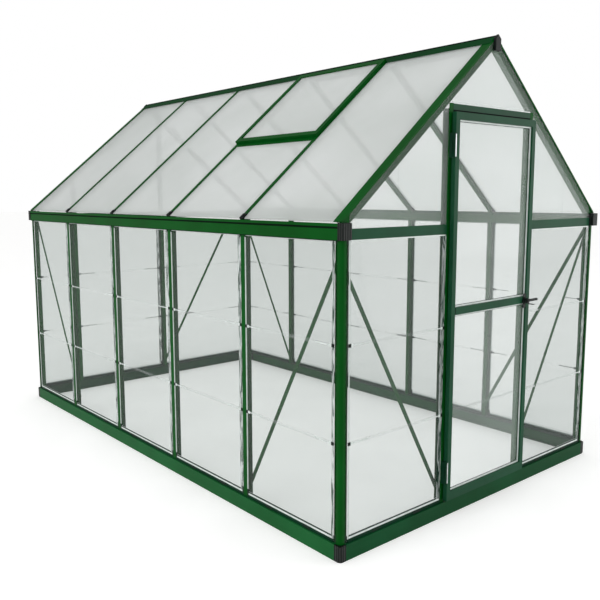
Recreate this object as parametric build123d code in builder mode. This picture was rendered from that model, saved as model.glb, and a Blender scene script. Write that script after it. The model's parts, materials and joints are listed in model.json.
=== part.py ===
from build123d import *
import os
from math import atan2, cos, degrees, hypot, sin

# Greenhouse with an apex roof: five bays long, three bays wide, a hinged door in the front gable.
# Millimetres. X runs across the gables, Y along the ridge with the door gable at -Y, Z up.
# The origin is on the ground, in the middle of the base frame.

# Overall size
house_width = 1850
house_length = 3060
ridge_height = 2080
bay_count = 5

# Base frame of folded steel
base_height = 66
steel_thick = 2
base_top_flange = 34
base_foot_flange = 28
base_cap_size = 34
base_cap_round = 16
base_tongue = 45

# Wall planes, studs and panes
wall_inset = 9
cap_width = 28
cap_thick = 3
cap_round = 1.2
pane_thick = 3
web_thick = 2.5
rib_width = 18
rib_thick = 2
stud_depth = 34
flange_width = 22
flange_thick = 2.5
sill_floor = 2.5
sill_lip = 14
pane_bite = 8
pane_play = 1
joint_heights = (463, 845)
strip_height = 12
strip_thick = 1.5

# Corner posts
post_leg = 40
post_nose = 24
post_round = 14
post_tube_wall = 2.5
post_key = 5

# Eaves rails
eaves_under = 1241
eaves_proud = 9
eaves_wall = 2
eaves_face = 42
eaves_groove = 8
eaves_groove_depth = 6
eaves_top = 62
eaves_cap_length = 32
eaves_cap_grow = 2
rail_seam_y = 330
rail_seam_gap = 1

# Gable cross rails
cross_rail_height = 41

# Roof
roof_foot_x = 920
roof_foot_z = 1310
sheet_thick = 4
sheet_low = 2
sheet_play = 0.5
rafter_cap_width = 24
rafter_depth = 32
rafter_flange = 18
ridge_wing = 45
ridge_depth = 40
ridge_wall = 3
ridge_slot = 14
ridge_crown = 11
ridge_cap_width = 40
ridge_cap_length = 12
ridge_cap_grow = 3
gable_rafter_depth = 38
gable_rafter_lip = 8
gable_rafter_width = 42
gable_shelf = 22
gable_pane_cover = 4.5
gable_seam_x = 610
apex_gap = 0.5

# Roof vent over the second bay from the front
vent_bay = 1
vent_foot = 560
vent_bar = 26
vent_height = 16
vent_lap = 10
vent_clear = 4
vent_sill_height = 22

# Door and doorway
door_post_x = 296
door_post_width = 24
door_half = 295
door_lift = 5
door_thick = 20
door_bottom = 76
door_top = 1740
bottom_rail_height = 40
mid_rail_height = 32
top_rail_height = 30
stile_width = 25
tube_wall = 2
mid_rail_centre = 914
door_joint = 474
header_foot = 1736
header_height = 40

# Hinges and latch
hinge_height = 100
hinge_centres = (206, 1605)
hinge_gap = 6
hinge_set = 3
low_knuckle = (0, 30)
middle_knuckle = (31, 69)
high_knuckle = (70, 100)
knuckle_radius = 5
pin_radius = 2.2
pin_play = 0.1
hinge_plate = 2
latch_x = 252
latch_height = 910
latch_plate = (20, 68)
latch_plate_thick = 3
latch_boss_radius = 16
latch_boss_thick = 8
spindle_radius = 5
lever_length = 94
lever_width = 11
lever_thick = 7
hub_radius = 12
hub_length = 15
hub_play = 0.3
handle_stand = 0.3
spindle_head = 7
catch_x = 307
catch_plate = (12, 46)
catch_reach = 46

# Rear gable studs, measured from the middle of the gable
rear_stud_places = (-615, 85)

# Braces and the clips beside the ends of the studs
brace_width = 18
brace_thick = 3
sleeve_foot = 26
sleeve_head = 12
sleeve_width = 9
sleeve_thick = 2.5

# Derived places
wall_x = house_width / 2 - wall_inset
wall_y = house_length / 2 - wall_inset
bay = 2 * wall_y / bay_count
stud_places = [-wall_y + bay * k for k in range(1, bay_count)]
pane_floor = base_height + sill_floor
roof_angle = atan2(ridge_height - roof_foot_z, roof_foot_x)
slope_length = hypot(roof_foot_x, ridge_height - roof_foot_z)
rafter_length = slope_length - ridge_wing
post_inner_x = door_post_x - door_post_width / 2
post_outer_x = door_post_x + door_post_width / 2
pane_in = cap_thick + pane_thick
post_end_x = wall_x - post_leg
post_end_y = wall_y - post_leg
leaf_out = wall_y + door_lift + door_thick
leaf_middle = door_thick / 2 - leaf_out
leaf_pane = -wall_y - door_lift - tube_wall - (pane_thick + pane_play) / 2
hinge_x = -door_half - hinge_gap
hinge_y = hinge_set - leaf_out
top_left = (Align.MIN, Align.MAX)
low_right = (Align.MAX, Align.MIN)
low_left = (Align.MIN, Align.MIN)
low_middle = (Align.CENTER, Align.MIN)
top_middle = (Align.CENTER, Align.MAX)
half_strip = strip_thick / 2

os.makedirs("parts", exist_ok=True)


def save(piece, name):
    """Label a finished sub-part and write it out."""
    piece.label = name
    export_step(piece, f"parts/{name}.step")


def upright(x, y, z, side):
    """Plane of a section that is pulled upwards; its y points out of the named wall."""
    along = {"left": (0, 1, 0), "right": (0, -1, 0), "front": (-1, 0, 0), "rear": (1, 0, 0)}
    return Plane(origin=(x, y, z), x_dir=along[side], z_dir=(0, 0, 1))


def level(x, y, z, side):
    """Plane of a section that is pulled along a wall; its x points out of the wall, y up."""
    out = {"left": (-1, 0, 0), "right": (1, 0, 0), "front": (0, -1, 0), "rear": (0, 1, 0)}
    along = {"left": (0, 1, 0), "right": (0, -1, 0), "front": (-1, 0, 0), "rear": (1, 0, 0)}
    return Plane(origin=(x, y, z), x_dir=out[side], z_dir=along[side])


def slope_plane(y, start):
    """Plane across the left roof slope; its x points along +Y, y out of the roof."""
    x = -roof_foot_x + start * cos(roof_angle)
    z = roof_foot_z + start * sin(roof_angle)
    return Plane(origin=(x, y, z), x_dir=(0, 1, 0), z_dir=(cos(roof_angle), 0, sin(roof_angle)))


def slope_face(y, start, rise):
    """Plane lying on the left roof slope; its x points along -Y, y up the slope."""
    out = (-sin(roof_angle), 0, cos(roof_angle))
    x = -roof_foot_x + start * cos(roof_angle) + rise * out[0]
    z = roof_foot_z + start * sin(roof_angle) + rise * out[2]
    return Plane(origin=(x, y, z), x_dir=(0, -1, 0), z_dir=out)


def roof_point(start, rise):
    """Point (x, z) on the left slope, start up the slope and rise out of it."""
    x = -roof_foot_x + start * cos(roof_angle) - rise * sin(roof_angle)
    z = roof_foot_z + start * sin(roof_angle) + rise * cos(roof_angle)
    return (x, z)


def roof_height(x, rise):
    """Height at x of a line parallel to the roof, rise out of it."""
    slope = (ridge_height - roof_foot_z) / roof_foot_x
    return ridge_height - abs(x) * slope + rise / cos(roof_angle)


# Base frame

def base_section():
    """Folded channel, open to the inside, drawn from its outer lower edge."""
    Rectangle(steel_thick, base_height, align=low_right)
    Rectangle(base_foot_flange, steel_thick, align=low_right)
    with Locations((0, base_height - steel_thick)):
        Rectangle(base_top_flange, steel_thick, align=low_right)


half_w = house_width / 2
half_l = house_length / 2
seam_low = rail_seam_y - rail_seam_gap / 2
seam_high = rail_seam_y + rail_seam_gap / 2
base_end = half_l - base_cap_size

with BuildPart() as base_rail_left:
    for low, high in ((-base_end, seam_low), (seam_high, base_end)):
        with BuildSketch(level(-half_w, low, 0, "left")):
            base_section()
        extrude(amount=high - low)

with BuildPart() as base_rails_sides:
    add(base_rail_left.part)
    mirror(base_rail_left.part, about=Plane.YZ)
save(base_rails_sides.part, "base_rails_sides")

gable_base = house_width - 2 * base_cap_size
with BuildPart() as base_rail_front:
    with BuildSketch(level(gable_base / 2, -half_l, 0, "front")):
        base_section()
    extrude(amount=gable_base)

with BuildPart() as base_rails_gables:
    add(base_rail_front.part)
    mirror(base_rail_front.part, about=Plane.XZ)
save(base_rails_gables.part, "base_rails_gables")

# Moulded corner: a rounded nose and two tongues that sit behind the rails' webs
tongue_height = base_height - 2 * steel_thick
tongue_reach = base_cap_size + base_tongue
with BuildPart() as base_corner:
    with BuildSketch():
        with Locations((-half_w, -half_l)):
            Rectangle(base_cap_size, base_cap_size, align=low_left)
        fillet(vertices().sort_by(lambda v: v.X + v.Y)[0], base_cap_round)
    extrude(amount=base_height)
    with BuildSketch(Plane.XY.offset(steel_thick)):
        with Locations((-half_w + steel_thick, -half_l + steel_thick)):
            Rectangle(tongue_reach - steel_thick, cap_thick, align=low_left)
            Rectangle(cap_thick, tongue_reach - steel_thick, align=low_left)
    extrude(amount=tongue_height)


def four_corners(piece):
    """Put a piece of the near left corner on all four corners."""
    add(piece)
    mirror(piece, about=Plane.YZ)
    mirror(piece, about=Plane.XZ)
    mirror(mirror(piece, about=Plane.YZ, mode=Mode.PRIVATE), about=Plane.XZ)


with BuildPart() as base_corner_caps:
    four_corners(base_corner.part)
save(base_corner_caps.part, "base_corner_caps")


def between_caps(end, places):
    """Clear spans between the caps of the studs along a wall."""
    stops = [-end]
    for place in places:
        stops += [place - cap_width / 2, place + cap_width / 2]
    stops.append(end)
    return list(zip(stops[0::2], stops[1::2]))


side_spans = between_caps(post_end_y, stud_places)
rear_spans = between_caps(post_end_x, rear_stud_places)
front_starts = (post_end_x, -post_outer_x)
front_span = post_end_x - post_outer_x

# Sill rails that hold the foot of the panes


def sill_section():
    """Floor and a short inner upstand."""
    Rectangle(stud_depth + 2, sill_floor, align=low_right)
    with Locations((-stud_depth, 0)):
        Rectangle(2, 2 * sill_floor, align=low_right)


def sill_face(start_x, start_y, side, length):
    """Outer lip over the foot of the panes."""
    with BuildSketch(level(start_x, start_y, base_height, side)) as lip:
        Rectangle(cap_thick, sill_lip, align=low_right)
    extrude(lip.sketch, amount=length)


with BuildPart() as sill_left:
    with BuildSketch(level(-wall_x, -post_end_y, base_height, "left")):
        sill_section()
    extrude(amount=2 * post_end_y)
    for low, high in side_spans:
        sill_face(-wall_x, low, "left", high - low)

with BuildPart() as sills_sides:
    add(sill_left.part)
    mirror(sill_left.part, about=Plane.YZ)
save(sills_sides.part, "sills_sides")

with BuildPart() as sills_gables:
    with BuildSketch(level(-post_end_x, wall_y, base_height, "rear")):
        sill_section()
    extrude(amount=2 * post_end_x)
    for low, high in rear_spans:
        sill_face(low, wall_y, "rear", high - low)
    for start in front_starts:
        with BuildSketch(level(start, -wall_y, base_height, "front")):
            sill_section()
        extrude(amount=front_span)
        sill_face(start, -wall_y, "front", front_span)
save(sills_gables.part, "sills_gables")


# Studs

def cap_section(width):
    """Outer cap with eased outer edges, its outer face on the reference plane."""
    half = width / 2
    flat = half - cap_round
    with BuildLine() as edge:
        Polyline(
            (-half, -cap_thick), (half, -cap_thick), (half, -cap_round),
            (flat, 0), (-flat, 0), (-half, -cap_round), close=True,
        )
    make_face(edge.edges())


def stud_section():
    """Cap, web, pane ribs and inner flange."""
    cap_section(cap_width)
    with Locations((0, -cap_thick)):
        Rectangle(web_thick, stud_depth - cap_thick, align=top_middle)
    with Locations((0, -pane_in)):
        Rectangle(rib_width, rib_thick, align=top_middle)
    with Locations((0, -stud_depth)):
        Rectangle(flange_width, flange_thick, align=low_middle)


with BuildPart() as wall_studs_left:
    for place in stud_places:
        with BuildSketch(upright(-wall_x, place, pane_floor, "left")):
            stud_section()
        extrude(amount=eaves_under - pane_floor)
save(wall_studs_left.part, "wall_studs_left")

with BuildPart() as wall_studs_right:
    mirror(wall_studs_left.part, about=Plane.YZ)
save(wall_studs_right.part, "wall_studs_right")


# Corner posts: square tube, rounded nose and two ribs with pane slots between

def corner_section():
    """Section of the near left post, drawn from the corner of the two wall planes."""
    with BuildLine() as nose:
        outer = FilletPolyline((0, post_nose), (0, 0), (post_nose, 0), radius=post_round)
        inner = FilletPolyline(
            (cap_thick, post_nose), (cap_thick, cap_thick), (post_nose, cap_thick), radius=post_round - cap_thick
        )
        Line(outer @ 0, inner @ 0)
        Line(outer @ 1, inner @ 1)
    make_face(nose.edges())
    with Locations((post_key, post_key)):
        Rectangle(post_key, post_key, align=low_left)
    with Locations((pane_in, pane_in)):
        Rectangle(post_leg - pane_in, rib_thick, align=low_left)
        Rectangle(rib_thick, post_leg - pane_in, align=low_left)
        Rectangle(stud_depth - pane_in, stud_depth - pane_in, align=low_left)
    tube_start = pane_in + rib_thick
    tube_inside = stud_depth - tube_start - post_tube_wall
    with Locations((tube_start, tube_start)):
        Rectangle(tube_inside, tube_inside, align=low_left, mode=Mode.SUBTRACT)


with BuildPart() as corner_post:
    with BuildSketch(Plane(origin=(-wall_x, -wall_y, base_height))):
        corner_section()
    extrude(amount=eaves_under - base_height)

with BuildPart() as corner_posts:
    four_corners(corner_post.part)
save(corner_posts.part, "corner_posts")


# Door posts up to the header, and rear gable studs with caps cut to the slope of the roof

rear_face = Plane(origin=(0, wall_y - cap_thick, 0), x_dir=(-1, 0, 0), z_dir=(0, 1, 0))


def under_rafter(x, width):
    """Height where a core of the given width ends below the gable rafter."""
    return roof_height(abs(x) + width / 2, -gable_rafter_depth)


def sloped_cap(x):
    """Outer cap of a rear stud between the sill and the lip of the gable rafter."""
    low = x - cap_width / 2
    high = x + cap_width / 2
    with BuildLine() as edge:
        Polyline(
            (low, pane_floor),
            (high, pane_floor),
            (high, roof_height(high, -gable_rafter_lip)),
            (low, roof_height(low, -gable_rafter_lip)),
            close=True,
        )
    with BuildSketch(rear_face) as outline:
        make_face(edge.edges())
    extrude(outline.sketch, amount=cap_thick)


def door_post_core():
    """Channel with a flat side to the doorway (at +x) and a pane slot on the other side."""
    with Locations((door_post_width / 2, -cap_thick)):
        Rectangle(cap_thick, stud_depth - cap_thick, align=(Align.MAX, Align.MAX))
    with Locations((door_post_width / 2, -pane_in)):
        Rectangle(door_post_width - 4, rib_thick, align=(Align.MAX, Align.MAX))
    with Locations((door_post_width / 2, -stud_depth)):
        Rectangle(door_post_width, flange_thick, align=(Align.MAX, Align.MIN))


header_top = header_foot + header_height
header_web = header_foot + (header_height - web_thick) / 2
with BuildPart() as door_post_right:
    with BuildSketch(upright(door_post_x, -wall_y, base_height, "front")):
        cap_section(door_post_width)
    extrude(amount=header_top - base_height)
    with BuildSketch(upright(door_post_x, -wall_y, base_height, "front")):
        door_post_core()
    extrude(amount=header_web + web_thick - base_height)

with BuildPart() as door_posts:
    add(door_post_right.part)
    mirror(door_post_right.part, about=Plane.YZ)
save(door_posts.part, "door_posts")

with BuildPart() as rear_gable_studs:
    for place in rear_stud_places:
        sloped_cap(-place)
        with BuildSketch(upright(place, wall_y, pane_floor, "rear")):
            stud_section()
        extrude(amount=under_rafter(place, cap_width) - pane_floor)
save(rear_gable_studs.part, "rear_gable_studs")


# Eaves rails

def eaves_section():
    """Hollow rail with a groove and a top lip, drawn from the wall plane at its underside."""
    outer = eaves_proud
    inner = -stud_depth
    with Locations((outer, 0)):
        Rectangle(outer - inner, eaves_face, align=low_right)
    with Locations((outer - eaves_wall, eaves_wall)):
        hollow = (outer - inner - 2 * eaves_wall, eaves_face - 2 * eaves_wall)
        Rectangle(*hollow, align=low_right, mode=Mode.SUBTRACT)
    with Locations((outer - eaves_groove_depth, eaves_face - eaves_wall)):
        Rectangle(eaves_wall, eaves_groove + 2 * eaves_wall, align=low_right)
    with Locations((outer, eaves_face + eaves_groove)):
        Rectangle(eaves_groove_depth + eaves_wall, eaves_wall, align=low_right)
        Rectangle(eaves_wall, eaves_top - eaves_face - eaves_groove, align=low_right)


eaves_end = half_l - 22
with BuildPart() as eaves_rail_left:
    for low, high in ((-eaves_end, seam_low), (seam_high, eaves_end)):
        with BuildSketch(level(-wall_x, low, eaves_under, "left")):
            eaves_section()
        extrude(amount=high - low)
save(eaves_rail_left.part, "eaves_rail_left")

with BuildPart() as eaves_rail_right:
    mirror(eaves_rail_left.part, about=Plane.YZ)
save(eaves_rail_right.part, "eaves_rail_right")

# Moulded end cap that closes the rail's section
with BuildPart() as eaves_cap:
    with BuildSketch(level(-wall_x, -eaves_end - eaves_cap_length, eaves_under, "left")):
        with Locations((eaves_proud + eaves_cap_grow, 0)):
            Rectangle(eaves_proud + eaves_cap_grow + stud_depth, eaves_top + eaves_cap_grow, align=low_right)
        fillet(vertices().group_by(Axis.X)[0], 5)
    extrude(amount=eaves_cap_length)
    chamfer(faces().sort_by(Axis.Y)[0].edges(), 1.5)

with BuildPart() as eaves_end_caps:
    four_corners(eaves_cap.part)
save(eaves_end_caps.part, "eaves_end_caps")


# Gable cross rails at eaves height

def cross_rail_section(height):
    """Face, back and middle web with a slot for the panes above, and an inner flange."""
    Rectangle(cap_thick, height, align=low_right)
    with Locations((-pane_in, 0)):
        Rectangle(rib_thick, height, align=low_right)
    with Locations((0, (height - web_thick) / 2)):
        Rectangle(stud_depth, web_thick, align=low_right)


with BuildPart() as cross_rails:
    for start in front_starts:
        with BuildSketch(level(start, -wall_y, eaves_under, "front")):
            cross_rail_section(cross_rail_height)
        extrude(amount=front_span)
    for low, high in rear_spans:
        with BuildSketch(level(low, wall_y, eaves_under, "rear")):
            cross_rail_section(cross_rail_height)
        extrude(amount=high - low)
save(cross_rails.part, "cross_rails")


# Roof rafters

def rafter_section():
    """Cap, ribs under the roof sheets, web and inner flange; y is out of the roof."""
    cap_section(rafter_cap_width)
    with Locations((0, -cap_thick)):
        Rectangle(web_thick, rafter_depth - cap_thick, align=top_middle)
    with Locations((0, -cap_thick - sheet_thick)):
        Rectangle(rib_width, rib_thick, align=top_middle)
    with Locations((0, -rafter_depth)):
        Rectangle(rafter_flange, flange_thick, align=low_middle)


with BuildPart() as roof_rafters_left:
    for place in stud_places:
        with BuildSketch(slope_plane(place, 0)):
            rafter_section()
        extrude(amount=rafter_length)

with BuildPart() as roof_rafters:
    add(roof_rafters_left.part)
    mirror(roof_rafters_left.part, about=Plane.YZ)
save(roof_rafters.part, "roof_rafters")


def gable_rafter_section():
    """Top flange, outer lip, web behind the gable panes, sheet shelf and foot; x is inwards."""
    Rectangle(gable_rafter_width, cap_thick, align=top_left)
    Rectangle(cap_thick, gable_rafter_lip, align=top_left)
    with Locations((pane_in, -cap_thick)):
        Rectangle(rib_thick, gable_rafter_depth - cap_thick, align=top_left)
    with Locations((pane_in, -cap_thick - sheet_thick)):
        Rectangle(gable_shelf, rib_thick, align=top_left)
    with Locations((pane_in, -gable_rafter_depth)):
        Rectangle(stud_depth - pane_in, flange_thick, align=low_left)


with BuildPart() as gable_rafter:
    with BuildSketch(slope_plane(-wall_y, 0)):
        gable_rafter_section()
    extrude(amount=slope_length + ridge_wing)
    split(bisect_by=Plane.YZ.offset(-apex_gap / 2), keep=Keep.BOTTOM)
    with BuildSketch(Plane.XZ.offset(wall_y + 1)):
        with Locations((-wall_x, eaves_under)):
            Rectangle(post_leg, eaves_top + eaves_cap_grow, align=low_left)
            Rectangle(2 * eaves_proud, eaves_top + eaves_cap_grow, align=low_right)
    extrude(amount=-gable_rafter_width - 2, mode=Mode.SUBTRACT)

with BuildPart() as gable_rafters_front:
    add(gable_rafter.part)
    mirror(gable_rafter.part, about=Plane.YZ)
save(gable_rafters_front.part, "gable_rafters_front")

with BuildPart() as gable_rafters_rear:
    mirror(gable_rafters_front.part, about=Plane.XZ)
save(gable_rafters_rear.part, "gable_rafters_rear")

# Seats that fill the wedge between each rafter's lower end and the eaves rail
seat_low_x, seat_low_z = roof_point(0, -rafter_depth)
seat_end_x = -wall_x + stud_depth
seat_floor = eaves_under + eaves_face
with BuildPart() as seats_left:
    for place in stud_places:
        with BuildSketch(Plane.XZ.offset(-place - rafter_flange / 2)):
            with BuildLine():
                Polyline(
                    (seat_low_x, seat_floor),
                    (seat_end_x, seat_floor),
                    (seat_end_x, roof_height(seat_end_x, -rafter_depth)),
                    (seat_low_x, seat_low_z),
                    close=True,
                )
            make_face()
        extrude(amount=rafter_flange)

with BuildPart() as rafter_seats:
    add(seats_left.part)
    mirror(seats_left.part, about=Plane.YZ)
save(rafter_seats.part, "rafter_seats")


# Ridge beam: hollow, with a slot on each side for the upper ends of the roof sheets

def ridge_outline(inset, cover):
    """Five-sided section, its sides square to the slopes, drawn inset and below a cover."""
    side = rafter_length + inset
    top = roof_point(side, -cover)
    foot = roof_point(side, inset - ridge_depth)
    apex = (0, roof_height(0, -cover))
    with BuildLine() as outline:
        Polyline(top, apex, (-top[0], top[1]), (-foot[0], foot[1]), foot, close=True)
    make_face(outline.edges())


ridge_end = wall_y - gable_rafter_width
slot_middle = roof_point(rafter_length + ridge_slot / 2, -cap_thick - sheet_thick / 2)
with BuildPart() as ridge_beam:
    with BuildSketch(Plane.XZ.offset(-ridge_end)):
        ridge_outline(0, 0)
    extrude(amount=2 * ridge_end)
    with BuildSketch(Plane.XZ.offset(-ridge_end)):
        ridge_outline(ridge_wall, ridge_crown)
    extrude(amount=2 * ridge_end, mode=Mode.SUBTRACT)
    with BuildSketch(Plane.XZ.offset(-ridge_end)):
        with Locations(Location(slot_middle, degrees(roof_angle))):
            Rectangle(ridge_slot, sheet_thick)
        mirror(about=Plane.YZ)
    extrude(amount=2 * ridge_end, mode=Mode.SUBTRACT)
save(ridge_beam.part, "ridge_beam")

# Moulded caps over the apex of each gable
cap_low = ridge_height - ridge_wing - ridge_depth / 2
with BuildPart() as ridge_cap:
    with BuildSketch(Plane.XZ.offset(wall_y)):
        with BuildLine():
            Polyline(
                (-ridge_cap_width / 2, cap_low),
                (ridge_cap_width / 2, cap_low),
                (ridge_cap_width / 2, roof_height(ridge_cap_width / 2, ridge_cap_grow)),
                (0, roof_height(0, ridge_cap_grow)),
                (-ridge_cap_width / 2, roof_height(ridge_cap_width / 2, ridge_cap_grow)),
                close=True,
            )
        make_face()
        fillet(vertices().group_by(Axis.Y)[0], ridge_cap_grow)
    extrude(amount=ridge_cap_length)
    chamfer(faces().sort_by(Axis.Y)[0].edges(), 2)

with BuildPart() as ridge_end_caps:
    add(ridge_cap.part)
    mirror(ridge_cap.part, about=Plane.XZ)
save(ridge_end_caps.part, "ridge_end_caps")


# Roof sheets, held between the caps and ribs of the rafters

sheet_top = rafter_length + ridge_slot - sheet_play


def roof_sheet(low_y, high_y, start, end):
    """Sheet on the left slope between two stations along the ridge."""
    middle = (low_y + high_y) / 2
    with BuildSketch(slope_face(middle, start, -cap_thick - sheet_thick)) as outline:
        Rectangle(high_y - low_y, end - start, align=low_middle)
    extrude(outline.sketch, amount=sheet_thick)


def bay_limits(index, play):
    """Clear length between the webs on either side of a bay."""
    edge = wall_y - pane_in - rib_thick - play
    low = stud_places[index - 1] + web_thick / 2 + play if index > 0 else -edge
    high = stud_places[index] - web_thick / 2 - play if index < bay_count - 1 else edge
    return low, high


with BuildPart() as roof_sheets_right_half:
    for index in range(bay_count):
        roof_sheet(*bay_limits(index, sheet_play), sheet_low, sheet_top)

with BuildPart() as roof_sheets_right:
    mirror(roof_sheets_right_half.part, about=Plane.YZ)
save(roof_sheets_right.part, "roof_sheets_right")

with BuildPart() as roof_sheets_left:
    for index in range(bay_count):
        end = vent_foot + vent_clear if index == vent_bay else sheet_top
        roof_sheet(*bay_limits(index, sheet_play), sheet_low, end)
save(roof_sheets_left.part, "roof_sheets_left")

# Roof vent: crossbar between the rafters, a slotted frame on their caps and its sheet
vent_low = stud_places[vent_bay - 1]
vent_high = stud_places[vent_bay]
vent_middle = (vent_low + vent_high) / 2
vent_width = vent_high - vent_low + 2 * vent_lap
vent_length = rafter_length - vent_foot
sheet_rise = (vent_height - sheet_thick) / 2


def vent_ring(rise, thick, bar):
    """One layer of the vent frame, rise above the rafter caps."""
    with BuildSketch(slope_face(vent_middle, vent_foot, rise)) as ring:
        Rectangle(vent_width, vent_length, align=low_middle)
        with Locations((0, bar)):
            hole = (vent_width - 2 * bar, vent_length - 2 * bar)
            Rectangle(*hole, align=low_middle, mode=Mode.SUBTRACT)
    extrude(ring.sketch, amount=thick)


with BuildPart() as vent_frame:
    vent_ring(0, sheet_rise, vent_bar)
    vent_ring(sheet_rise, sheet_thick, vent_bar - pane_bite)
    vent_ring(sheet_rise + sheet_thick, sheet_rise, vent_bar)
save(vent_frame.part, "vent_frame")

vent_bite = vent_bar - pane_bite
with BuildPart() as vent_sheet:
    with BuildSketch(slope_face(vent_middle, vent_foot + vent_bite, sheet_rise)):
        Rectangle(vent_width - 2 * vent_bite, vent_length - 2 * vent_bite, align=low_middle)
    extrude(amount=sheet_thick)
save(vent_sheet.part, "vent_sheet")

sill_span = bay_limits(vent_bay, 0)
with BuildPart() as vent_crossbar:
    with BuildSketch(slope_face(vent_middle, vent_foot, -cap_thick)):
        span = vent_high - vent_low - rafter_cap_width
        Rectangle(span, 2 * vent_sill_height, align=Align.CENTER)
    extrude(amount=cap_thick)
    with BuildSketch(slope_face(vent_middle, vent_foot + vent_clear, -cap_thick - sheet_thick)):
        Rectangle(sill_span[1] - sill_span[0], cap_thick, align=low_middle)
    extrude(amount=sheet_thick)
    with BuildSketch(slope_face(vent_middle, vent_foot, -rafter_depth + flange_thick)):
        span = vent_high - vent_low - rib_width
        Rectangle(span, vent_sill_height, align=Align.CENTER)
    extrude(amount=rafter_depth - flange_thick - cap_thick - sheet_thick)
save(vent_crossbar.part, "vent_crossbar")

# Header over the door, between the door posts
with BuildPart() as door_header:
    with BuildSketch(level(post_inner_x, -wall_y, header_foot, "front")):
        cross_rail_section(header_height)
    extrude(amount=2 * post_inner_x)
save(door_header.part, "door_header")


# Wall panes in three tiers, each tier between the sill, the joint strips and the rail above

def tiers(top):
    """Lower and upper edge of each tier of panes, leaving the strip's web between them."""
    edges = [pane_floor]
    for height in joint_heights:
        edges += [height - half_strip, height + half_strip]
    edges.append(top)
    return list(zip(edges[0::2], edges[1::2]))


def wall_pane(plane, low, high):
    """One pane of a plane whose x runs along the wall and whose z points out of it."""
    with BuildSketch(plane) as outline:
        with Locations(((low[0] + high[0]) / 2, (low[1] + high[1]) / 2)):
            Rectangle(high[0] - low[0], high[1] - low[1])
    extrude(outline.sketch, amount=pane_thick)


side_plane = Plane(origin=(-wall_x + pane_in, 0, 0), x_dir=(0, -1, 0), z_dir=(-1, 0, 0))
front_plane = Plane(origin=(0, -wall_y + pane_in, 0), x_dir=(1, 0, 0), z_dir=(0, -1, 0))
rear_plane = Plane(origin=(0, wall_y - pane_in, 0), x_dir=(-1, 0, 0), z_dir=(0, 1, 0))
slot_end_y = wall_y - post_round - pane_play
slot_end_x = wall_x - post_round - pane_play
web_gap = web_thick / 2 + pane_play


def between_webs(end, places):
    """Spans of the panes between the webs of the studs along a wall."""
    stops = [-end]
    for place in places:
        stops += [place - web_gap, place + web_gap]
    stops.append(end)
    return list(zip(stops[0::2], stops[1::2]))


with BuildPart() as panes_left:
    for low, high in between_webs(slot_end_y, stud_places):
        for foot, top in tiers(eaves_under):
            wall_pane(side_plane, (low, foot), (high, top))
save(panes_left.part, "panes_left")

with BuildPart() as panes_right:
    mirror(panes_left.part, about=Plane.YZ)
save(panes_right.part, "panes_right")

slot_post_x = post_outer_x - door_post_width + cap_thick + pane_play
with BuildPart() as panes_front:
    for low, high in ((-slot_end_x, -slot_post_x), (slot_post_x, slot_end_x)):
        for foot, top in tiers(eaves_under):
            wall_pane(front_plane, (low, foot), (high, top))
save(panes_front.part, "panes_front")

rear_pane_spans = between_webs(slot_end_x, sorted(-place for place in rear_stud_places))
with BuildPart() as panes_rear:
    for low, high in rear_pane_spans:
        for foot, top in tiers(eaves_under):
            wall_pane(rear_plane, (low, foot), (high, top))
save(panes_rear.part, "panes_rear")


# Gable panes above the cross rails, cut to the slope of the roof

gable_pane_foot = eaves_under + (cross_rail_height + web_thick) / 2 + pane_play
gable_corner_x = post_end_x - 2


def gable_pane(plane, low, high, foot):
    """Pane from its foot up into the slot of the gable rafters, also across the ridge."""
    points = [(low, foot), (high, foot), (high, roof_height(high, -gable_pane_cover))]
    if low < 0 < high:
        points.append((0, roof_height(0, -gable_pane_cover)))
    points.append((low, roof_height(low, -gable_pane_cover)))
    with BuildLine() as edge:
        Polyline(*points, close=True)
    with BuildSketch(plane) as outline:
        make_face(edge.edges())
    extrude(outline.sketch, amount=pane_thick)


over_door_foot = header_web + web_thick + pane_play
with BuildPart() as gable_panes_front:
    for low, high in ((slot_post_x, gable_seam_x - half_strip), (gable_seam_x + half_strip, gable_corner_x)):
        gable_pane(front_plane, low, high, gable_pane_foot)
        gable_pane(front_plane, -high, -low, gable_pane_foot)
    gable_pane(front_plane, pane_play - slot_post_x, slot_post_x - pane_play, over_door_foot)
save(gable_panes_front.part, "gable_panes_front")

with BuildPart() as gable_panes_rear:
    for low, high in rear_pane_spans:
        low = max(low, -gable_corner_x)
        high = min(high, gable_corner_x)
        gable_pane(rear_plane, low, high, gable_pane_foot)
save(gable_panes_rear.part, "gable_panes_rear")


# Joint strips between the tiers: an outer and an inner face joined through the gap

def joint_section():
    """H-shaped strip drawn from the wall plane; x out of the wall, y up."""
    with Locations((-cap_thick, 0)):
        Rectangle(pane_thick, strip_thick, align=(Align.MAX, Align.CENTER))
        Rectangle(strip_thick, strip_height, align=(Align.MIN, Align.CENTER))
    with Locations((-pane_in, 0)):
        Rectangle(strip_thick, strip_height, align=(Align.MAX, Align.CENTER))


def joint_strip(start, length, side):
    """Strips at both joint heights, from a start point on the wall plane."""
    for height in joint_heights:
        with BuildSketch(level(start[0], start[1], height, side)) as section:
            joint_section()
        extrude(section.sketch, amount=length)


with BuildPart() as joint_strips_left:
    for low, high in side_spans:
        joint_strip((-wall_x, low), high - low, "left")

with BuildPart() as joint_strips_sides:
    add(joint_strips_left.part)
    mirror(joint_strips_left.part, about=Plane.YZ)
save(joint_strips_sides.part, "joint_strips_sides")

with BuildPart() as joint_strips_gables:
    for start in front_starts:
        joint_strip((start, -wall_y), front_span, "front")
    for low, high in rear_spans:
        joint_strip((low, wall_y), high - low, "rear")
save(joint_strips_gables.part, "joint_strips_gables")


# Braces: flat bars with rounded ends on the inner faces of the posts

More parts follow.
